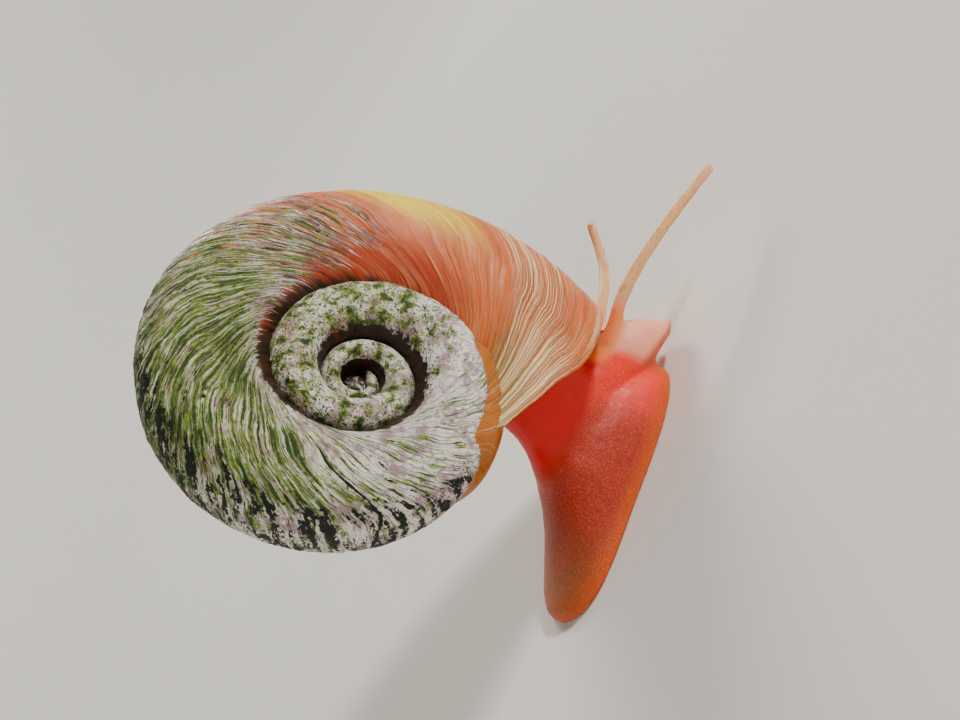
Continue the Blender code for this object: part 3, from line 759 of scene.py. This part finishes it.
def shell_material(settings):
    """Snail shell, lime laid down in growth lines under a thin horny skin.

    Young shell is glossy and lets some light in; under the old crust it is matt and opaque.
    """
    material, tree, shader = new_material("snail_shell", {
        "IOR": 1.42, "Subsurface Weight": 0.25, "Subsurface Radius": (1.0, 0.42, 0.16),
        "Subsurface Scale": 0.6 * MM})
    place = add_node(tree, "Attribute", output="Vector", attribute_name="growth_place")
    turns = painted(tree, "growth_place")[2]
    cover = painted(tree, "cover")
    # Growth lines wander by a few tenths of a millimetre.
    wave = add_node(tree, "TexCoord", output="Object")
    wave = add_node(
        tree, "TexNoise", {"Vector": wave, "Scale": 1.0 / (0.9 * MM), "Detail": 2.0}, "Color")
    place = add_node(
        tree, "VectorMath", {0: wave, 1: (0.45, 0.9, 0.0), 2: place}, operation="MULTIPLY_ADD")

    young, ridges = young_shell(
        tree, settings, place, painted(tree, "tone"), painted(tree, "tint"))
    inner = masked(tree, turns, 0.94, 1.06)
    old, flecks = old_shell(tree, settings, place, inner, cover)
    streaks = add_node(tree, "Mix", {
        0: inner, 2: growth_noise(tree, place, 0.34, 2.6, 3.0), 3: even_noise(tree, 0.45, 3.0)})
    some = masked(tree, cover[0], 0.0, 0.06)
    crusted = masked(tree, streaks, 0.655, 0.705, some, [(cover[0], 0.52)])
    tree.links.new(layered(tree, young, (old, crusted)), shader.inputs["Base Color"])
    dull = add_node(tree, "Math", {0: crusted, 1: 0.47, 2: 0.35}, operation="MULTIPLY_ADD")
    tree.links.new(dull, shader.inputs["Roughness"])
    height = add_node(tree, "Mix", {0: crusted, 2: ridges, 3: flecks})
    height = add_node(tree, "Math", {0: crusted, 1: 0.6, 2: height}, operation="MULTIPLY_ADD")
    bump = add_node(tree, "Bump", {"Height": height, "Strength": 1.0, "Distance": 0.12 * MM})
    tree.links.new(bump, shader.inputs["Normal"])
    return material


# ---- flesh

def sole_half_width(x):
    end, power = (SOLE_FRONT, FRONT_BLUNTNESS) if x > SOLE_WIDEST else (SOLE_BACK, TAIL_BLUNTNESS)
    share = (x - SOLE_WIDEST) / (end - SOLE_WIDEST)
    return SOLE_HALF_WIDTH * math.sqrt(max(0.0, 1.0 - share ** power))


def sole_middle(x):
    share = max(0.0, (SOLE_WIDEST - x) / (SOLE_WIDEST - SOLE_BACK))
    return TAIL_SWING * share ** 2


def foot_height(x):
    if x > FOOT_TOP:
        share = (x - FOOT_TOP) / (SOLE_FRONT - FOOT_TOP)
        return FOOT_HEIGHT * (1.0 - share ** 2)
    share = (x - SOLE_BACK) / (FOOT_TOP - SOLE_BACK)
    return min(FOOT_HEIGHT, TAIL_HEIGHT + TAIL_RISE * share + TAIL_CURVE * share ** 3)


def shares(steps):
    return [step / steps for step in range(steps + 1)]


def angles(count, shift=0.0):
    return [math.tau * (index + shift) / count for index in range(count)]


def tube(rings):
    """A closed tube through rings of points."""
    count = len(rings[0])
    bm = bmesh.new()
    bmesh.ops.create_grid(bm, x_segments=count, y_segments=len(rings) - 1, size=1.0)
    bm.verts.ensure_lookup_table()
    for row, ring in enumerate(rings):
        for column in range(count + 1):
            bm.verts[row * (count + 1) + column].co = ring[column % count]
    close_tube(bm, count, len(rings))
    bmesh.ops.recalc_face_normals(bm, faces=bm.faces)
    return bm


def smooth_path(points, share):
    """A point on a smooth curve through points; share runs from 0 to 1."""
    last = len(points) - 1
    place = min(share * last, last - 1e-9)
    index = int(place)
    part = place - index
    p1 = Vector(points[index])
    p2 = Vector(points[index + 1])
    p0 = Vector(points[index - 1]) if index > 0 else p1 * 2.0 - p2
    p3 = Vector(points[index + 2]) if index + 2 <= last else p2 * 2.0 - p1
    return 0.5 * (
        p1 * 2.0
        + (p2 - p0) * part
        + (p0 * 2.0 - p1 * 5.0 + p2 * 4.0 - p3) * part ** 2
        + (p1 * 3.0 - p0 - p2 * 3.0 + p3) * part ** 3
    )


def path_direction(points, share, reach):
    ahead = smooth_path(points, min(share + reach, 1.0))
    return (ahead - smooth_path(points, max(share - reach, 0.0))).normalized()


def foot_part():
    """The foot: a flat sole with a thin margin, high under the stalk and low at the tail."""
    rings = []
    middle = 0.5 * (SOLE_FRONT + SOLE_BACK)
    reach = 0.5 * (SOLE_FRONT - SOLE_BACK) - 0.01
    for share in shares(90):
        x = middle - reach * math.cos(math.pi * share)
        half = sole_half_width(x)
        round_off = min(1.0, half / (0.45 * SOLE_HALF_WIDTH))
        front = smoothstep(3.0, 6.2, x)
        height = max(max(foot_height(x), FRONT_HEIGHT * front) * round_off, MARGIN)
        dome = mix(FOOT_DOME, FRONT_DOME, front)
        ring = []
        for angle in angles(96, 0.5):
            sine = math.sin(angle)
            y = sole_middle(x) + half * signed_power(math.cos(angle), 0.85)
            if sine > 0.0:
                z = 0.5 * MARGIN + (height - 0.5 * MARGIN) * sine ** dome
            else:
                z = max(0.0, 0.5 * MARGIN * (1.0 + 2.4 * sine))
            ring.append(Vector((x, y, z)))
        rings.append(ring)
    return tube(rings)


def stalk_part():
    """The stalk, from inside the foot up into the shell's mouth."""
    centres = [(x, y, z) for z, x, y, _, _ in STALK_RINGS]
    sizes = [(length, width, 0.0) for _, _, _, length, width in STALK_RINGS]
    rings = []
    for share in shares(24):
        centre = smooth_path(centres, share)
        size = smooth_path(sizes, share)
        rings.append([
            centre + Vector((size.x * math.cos(angle), size.y * math.sin(angle), 0.0))
            for angle in angles(64)])
    return tube(rings)


def head_part():
    """The head, square to its bent middle line, with a flatter underside."""
    centres = [(x, 0.0, z) for x, z, _, _, _ in HEAD_RINGS]
    sizes = [(width, height, depth) for _, _, width, height, depth in HEAD_RINGS]
    rings = []
    for share in shares(40):
        centre = smooth_path(centres, share)
        size = smooth_path(sizes, share)
        slope = path_direction(centres, share, 0.02)
        rise = Vector((-slope.z, 0.0, slope.x))
        ring = []
        for angle in angles(64):
            upper = math.sin(angle) > 0.0
            power = 1.0 if upper else 2.0 / HEAD_FULLNESS
            side = Vector((0.0, size.x * signed_power(math.cos(angle), power), 0.0))
            reach = (size.y if upper else size.z) * signed_power(math.sin(angle), power)
            ring.append(centre + side + rise * reach)
        rings.append(ring)
    return tube(rings)


def lobe_part(side):
    """One lobe of the velum, a flat pad with rounded corners; side is 1 on the left, -1 right."""
    bm = bmesh.new()
    bmesh.ops.create_uvsphere(bm, u_segments=48, v_segments=32, radius=1.0)
    for vert in bm.verts:
        vert.co.x = signed_power(vert.co.x, LOBE_CORNERS)
        vert.co.y = signed_power(vert.co.y, LOBE_CORNERS)
    bmesh.ops.scale(bm, vec=LOBE_RADII, verts=bm.verts)
    turn = Matrix.Rotation(side * LOBE_CURL, 3, "X") @ Matrix.Rotation(LOBE_TILT, 3, "Y")
    bmesh.ops.rotate(bm, cent=(0.0, 0.0, 0.0), matrix=turn, verts=bm.verts)
    x, y, z = LOBE_CENTRE
    bmesh.ops.translate(bm, vec=(x, side * y, z), verts=bm.verts)
    return bm


def tentacle_part(points):
    """A tentacle along a path, broad at its base and round at its tip."""
    rings = []
    for share in shares(110):
        centre = smooth_path(points, share)
        along = path_direction(points, share, 0.01)
        across = along.cross(Vector((0.0, 0.0, 1.0))).normalized()
        rise = across.cross(along)
        radius = mix(TENTACLE_MIDDLE_RADIUS, TENTACLE_TIP_RADIUS, share)
        flare = math.exp(-share / TENTACLE_FLARE)
        radius += (TENTACLE_BASE_RADIUS - TENTACLE_MIDDLE_RADIUS) * flare
        radius *= math.sqrt(max(0.02, min(1.0, (1.0 - share) / 0.015)))
        rings.append([
            centre + (across * math.cos(angle) + rise * math.sin(angle)) * radius
            for angle in angles(32)])
    return tube(rings)


def mantle_part(wall):
    """The collar of flesh that fills the shell's mouth."""
    place = shell_frame()
    inset = wall - MANTLE_OVERLAP
    rings = []
    for share in shares(20):
        growth = math.tau * mix(MANTLE_START, MANTLE_END, share)
        rings.append([
            shell_point(place, growth, angle - math.pi, inset, inset)
            for angle in angles(96, 0.5)])
    return tube(rings)


def one_skin(parts, voxel):
    """Fuse overlapping closed parts into one even mesh."""
    whole = bpy.data.meshes.new("flesh_parts")
    joined = bmesh.new()
    for part in parts:
        part.to_mesh(whole)
        joined.from_mesh(whole)
        part.free()
    joined.to_mesh(whole)
    joined.free()
    obj = bpy.data.objects.new("flesh_parts", whole)
    bpy.context.scene.collection.objects.link(obj)
    remesh = obj.modifiers.new("Fuse", "REMESH")
    remesh.mode = "VOXEL"
    remesh.voxel_size = voxel
    remesh.adaptivity = 0.0
    bpy.context.view_layer.update()
    result = obj.evaluated_get(bpy.context.evaluated_depsgraph_get())
    bm = bmesh.new()
    bm.from_mesh(result.data)
    bpy.data.objects.remove(obj)
    bpy.data.meshes.remove(whole)
    return bm


def join_weight(point):
    """Where parts of the body meet and the skin is smoothed most."""
    near_root = max(1.0 - (point - Vector(root)).length / 2.6 for root in SMOOTHED_ROOTS)
    shoulder = 1.0 - abs(point.z - 5.2) / 2.4 if point.x < 5.5 else 0.0
    mouth = 1.0 - abs(point.z - 1.4) / 1.3 if point.x > 5.8 else 0.0
    return max(near_root, shoulder, mouth, 0.0)


def smooth_skin(bm):
    """Even out the grain of the fused mesh, and most of all the folds where parts join."""
    for limit, times in SMOOTHING:
        chosen = [vert for vert in bm.verts if join_weight(vert.co) >= limit]
        for _ in range(times):
            bmesh.ops.smooth_vert(
                bm, verts=chosen, factor=0.5, use_axis_x=True, use_axis_y=True, use_axis_z=True)


def flesh_relief(point):
    """Height of folds and small bumps of the skin, in mm."""
    knobs = noise.noise(point * 3.4) * 0.020 + noise.noise(point * 7.5) * 0.010
    if point.z <= 0.5:
        return knobs
    return knobs + 0.05 * noise.noise(Vector((point.x * 0.9, point.y * 0.35, point.z * 0.9)))


def paint_flesh(bm):
    """Amounts of each tint of the skin, and of the painted shade under the shell, by place on the
    body.
    """
    shade_layer, edge_layer = [bm.verts.layers.float_vector.new(name) for name in ("shade", "edge")]
    tail_layer = bm.verts.layers.float.new("tail")
    for vert in bm.verts:
        point = vert.co
        x, _, z = point
        velum_low = 2.2 - 0.24 * (x - 6.0)
        head = smoothstep(5.5, 6.7, x + 0.12 * (z - 4.0)) * smoothstep(-0.5, 0.3, z - velum_low)
        # Painted shade under the shell: high on the stalk behind the head, and all round the
        # mouth's collar.
        shade_red = smoothstep(4.3, 5.9, z) * (1.0 - smoothstep(5.0, 6.6, x))
        shade_red = max(shade_red, smoothstep(6.2, 8.0, z))
        foot_edge = 1.0 - smoothstep(0.25, 1.5, z)
        velum_edge = (1.0 - smoothstep(0.0, 0.75, z - velum_low)) * smoothstep(5.6, 6.4, x)
        root = 0.0
        for ends in ROOT_PATHS:
            front, back = map(Vector, ends)
            share = intersect_point_line(point, front, back)[1]
            nearest = front.lerp(back, min(max(share, 0.0), 1.0))
            root = max(root, 0.85 - 0.85 * smoothstep(0.4, 1.3, (point - nearest).length))
        feeler = smoothstep(8.2, 9.8, x) * smoothstep(3.9, 4.7, z)
        vert[shade_layer] = (shade_red, smoothstep(0.5, 5.0, x), head)
        vert[edge_layer] = (max(foot_edge * (1.0 - head), 0.8 * velum_edge), root, feeler)
        vert[tail_layer] = 1.0 - smoothstep(-11.5, -3.5, x)


def flesh_material(settings):
    """Wet, blood-filled snail skin: soft, lit from within, with a thin film of slime on it."""
    material, tree, shader = new_material("snail_skin", {
        "Roughness": 0.50, "IOR": 1.35, "Coat Weight": 0.03, "Coat Roughness": 0.15,
        "Subsurface Weight": 0.6, "Subsurface Radius": (1.0, 0.28, 0.16),
        "Subsurface Scale": 0.9 * MM})
    shade_red, neck, head = painted(tree, "shade")
    margin, root, feeler = painted(tree, "edge")
    tail = add_node(tree, "Attribute", output="Fac", attribute_name="tail")

    # Glands are about 0.04 mm across in life and drawn twice as coarse, to show. The feelers'
    # freckles are their real size.
    # Glands stay off the pale head and off the painted shade.
    head_and_shade = add_node(tree, "Math", {0: head, 1: shade_red}, operation="MAXIMUM")
    plain = masked(tree, head_and_shade, 0.8, 0.0, 0.32)
    glands = masked(tree, even_noise(tree, 0.08, 1.0), 0.56, 0.66, plain)
    freckles = masked(tree, even_noise(tree, 0.16, 1.0), 0.56, 0.66, 0.5)
    freckles = add_node(tree, "Math", {0: freckles, 1: feeler}, operation="MULTIPLY")
    skin = layered(
        tree, settings.coral,
        (settings.neck, neck),
        (settings.tail, tail),
        (settings.shade_red, shade_red),
        (settings.pale, head),
        (settings.margin, margin),
        (settings.root, root),
        (settings.tentacle, feeler),
        (settings.speck, glands),
        (settings.tail, freckles))
    tree.links.new(skin, shader.inputs["Base Color"])
    bump = add_node(
        tree, "Bump",
        {"Height": even_noise(tree, 0.20, 3.0), "Strength": 0.35, "Distance": 0.05 * MM})
    tree.links.new(bump, shader.inputs["Normal"])
    return material


def eye_material(settings):
    """Cup of black pigment under a clear wet lens: black, with one sharp highlight."""
    return new_material("snail_eye", {
        "Base Color": settings.eye, "Roughness": 0.08, "IOR": 1.45, "Coat Weight": 0.6})[0]


# ---- operators

class SNAIL_OT_shell(bpy.types.Operator):
    """Grow the shell from its lip back to its apex."""
    bl_idname = "snail.shell"
    bl_label = "Build the shell"

    def execute(self, context):
        settings = context.scene.snail_shell
        bm = shell_surface(settings)
        nodes = [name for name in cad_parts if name.startswith("shell_")]
        finish_object("shell", bm, shell_material(settings), nodes)
        return {"FINISHED"}


class SNAIL_OT_flesh(bpy.types.Operator):
    """Model foot, stalk, head, tentacles and mantle under one skin."""
    bl_idname = "snail.flesh"
    bl_label = "Build the body"

    def execute(self, context):
        settings = context.scene.snail_flesh
        wall = context.scene.snail_shell.wall / MM
        parts = [
            foot_part(), stalk_part(), head_part(), lobe_part(1.0), lobe_part(-1.0),
            tentacle_part(TENTACLE_RIGHT), tentacle_part(TENTACLE_LEFT), mantle_part(wall),
        ]
        bm = one_skin(parts, settings.voxel / MM)
        smooth_skin(bm)
        bm.normal_update()
        raised = [vert for vert in bm.verts if vert.co.z > SOLE_EDGE]
        for vert, height in [(vert, flesh_relief(vert.co)) for vert in raised]:
            vert.co += vert.normal * height
        paint_flesh(bm)
        nodes = [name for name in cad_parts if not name.startswith(("shell_", "eye_"))]
        finish_object("skin", bm, flesh_material(settings), nodes)
        return {"FINISHED"}


class SNAIL_OT_eyes(bpy.types.Operator):
    """Round off the two small eyes at the roots of the tentacles."""
    bl_idname = "snail.eyes"
    bl_label = "Build the eyes"

    def execute(self, context):
        material = eye_material(context.scene.snail_flesh)
        for side in ("left", "right"):
            low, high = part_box(f"eye_{side}")
            bm = bmesh.new()
            bmesh.ops.create_uvsphere(
                bm, u_segments=40, v_segments=24, radius=0.5 * (high.x - low.x) / MM)
            bmesh.ops.translate(bm, vec=(low + high) * 0.5 / MM, verts=bm.verts)
            finish_object(f"eye_ball_{side}", bm, material, [f"eye_{side}"])
        return {"FINISHED"}


def studio_floor(settings):
    """A flat floor that curves up far out, so that it shows no edge."""
    bm = bmesh.new()
    start = bm.verts.new((0.0, 0.0, 0.0))
    tip = bmesh.ops.extrude_vert_indiv(bm, verts=[start])["verts"][0]
    tip.co = (settings.floor_radius, 0.0, 0.0)
    bmesh.ops.spin(
        bm, geom=[tip], cent=(settings.floor_radius, 0.0, BOWL_RADIUS), axis=(0.0, -1.0, 0.0),
        angle=BOWL_ANGLE, steps=16, use_merge=False)
    profile = list(bm.verts) + list(bm.edges)
    bmesh.ops.spin(
        bm, geom=profile, cent=(0.0, 0.0, 0.0), axis=(0.0, 0.0, 1.0), angle=math.tau,
        steps=96, use_merge=True)
    bmesh.ops.remove_doubles(bm, verts=bm.verts, dist=1e-6)
    bmesh.ops.recalc_face_normals(bm, faces=bm.faces)
    # Matt paper: no highlight, only soft shade.
    paper = new_material("studio_paper", {"Base Color": settings.floor, "Roughness": 0.9})[0]
    smooth_object("studio_floor", bm, paper)


def area_light(name, place, size, power, tint):
    light = bpy.data.lights.new(name, "AREA")
    light.shape = "DISK"
    light.size = size
    light.energy = power
    light.color = tint
    obj = bpy.data.objects.new(name, light)
    obj.location = place
    aim = Vector(LIGHT_TARGET) - Vector(place)
    obj.rotation_euler = aim.to_track_quat("-Z", "Y").to_euler()
    obj.visible_camera = False
    bpy.context.scene.collection.objects.link(obj)


def studio_air(scene):
    """Even white light from all round, to open up the shadows."""
    scene.world = bpy.data.worlds.new("studio_air")
    scene.world.use_nodes = True
    background = scene.world.node_tree.nodes["Background"]
    background.inputs["Color"].default_value = (1.0, 1.0, 1.0, 1.0)
    background.inputs["Strength"].default_value = AIR_BRIGHTNESS


def studio_camera(scene, settings):
    camera = bpy.data.cameras.new("camera")
    camera.lens = settings.lens
    camera.sensor_width = SENSOR_WIDTH
    camera.clip_start = 0.002
    camera.clip_end = 10.0
    obj = bpy.data.objects.new("camera", camera)
    forward = Vector((
        math.cos(CAMERA_HEADING) * math.cos(CAMERA_TILT),
        math.sin(CAMERA_HEADING) * math.cos(CAMERA_TILT), math.sin(CAMERA_TILT)))
    level = forward.cross(Vector((0.0, 0.0, 1.0))).normalized()
    right = Matrix.Rotation(CAMERA_ROLL, 3, forward) @ level
    up = right.cross(forward)
    turn = Matrix((right, up, -forward)).transposed()
    obj.matrix_world = Matrix.Translation(CAMERA_PLACE) @ turn.to_4x4()
    scene.collection.objects.link(obj)
    scene.camera = obj


class SNAIL_OT_stage(bpy.types.Operator):
    """Set the floor, the soft lights and the camera."""
    bl_idname = "snail.stage"
    bl_label = "Set the stage"

    def execute(self, context):
        settings = context.scene.snail_stage
        studio_floor(settings)
        for light in LIGHTS:
            area_light(*light)
        studio_air(context.scene)
        studio_camera(context.scene, settings)
        return {"FINISHED"}


class SNAIL_PT_panel(bpy.types.Panel):
    """Lists the snail's settings and operators."""
    bl_label = "Ramshorn snail"
    bl_idname = "SNAIL_PT_panel"
    bl_space_type = "VIEW_3D"
    bl_region_type = "UI"
    bl_category = "Snail"

    def draw(self, context):
        for group_name in SETTINGS:
            group = getattr(context.scene, group_name)
            for name in group.bl_rna.properties.keys():
                if name not in ("rna_type", "name"):
                    self.layout.prop(group, name)
        for operator in OPERATORS:
            self.layout.operator(operator.bl_idname)


SETTINGS = {
    "snail_shell": SnailShellSettings,
    "snail_flesh": SnailFleshSettings,
    "snail_stage": SnailStageSettings,
}
OPERATORS = (SNAIL_OT_stage, SNAIL_OT_shell, SNAIL_OT_flesh, SNAIL_OT_eyes)
CLASSES = (*SETTINGS.values(), *OPERATORS, SNAIL_PT_panel)


def register():
    for cls in CLASSES:
        bpy.utils.register_class(cls)
    for name, group in SETTINGS.items():
        setattr(bpy.types.Scene, name, PointerProperty(type=group))


def unregister():
    for name in SETTINGS:
        delattr(bpy.types.Scene, name)
    for cls in reversed(CLASSES):
        bpy.utils.unregister_class(cls)


def main():
    register()
    bpy.ops.snail.stage()
    bpy.ops.snail.shell()
    bpy.ops.snail.flesh()
    bpy.ops.snail.eyes()


if __name__ == "__main__":
    main()
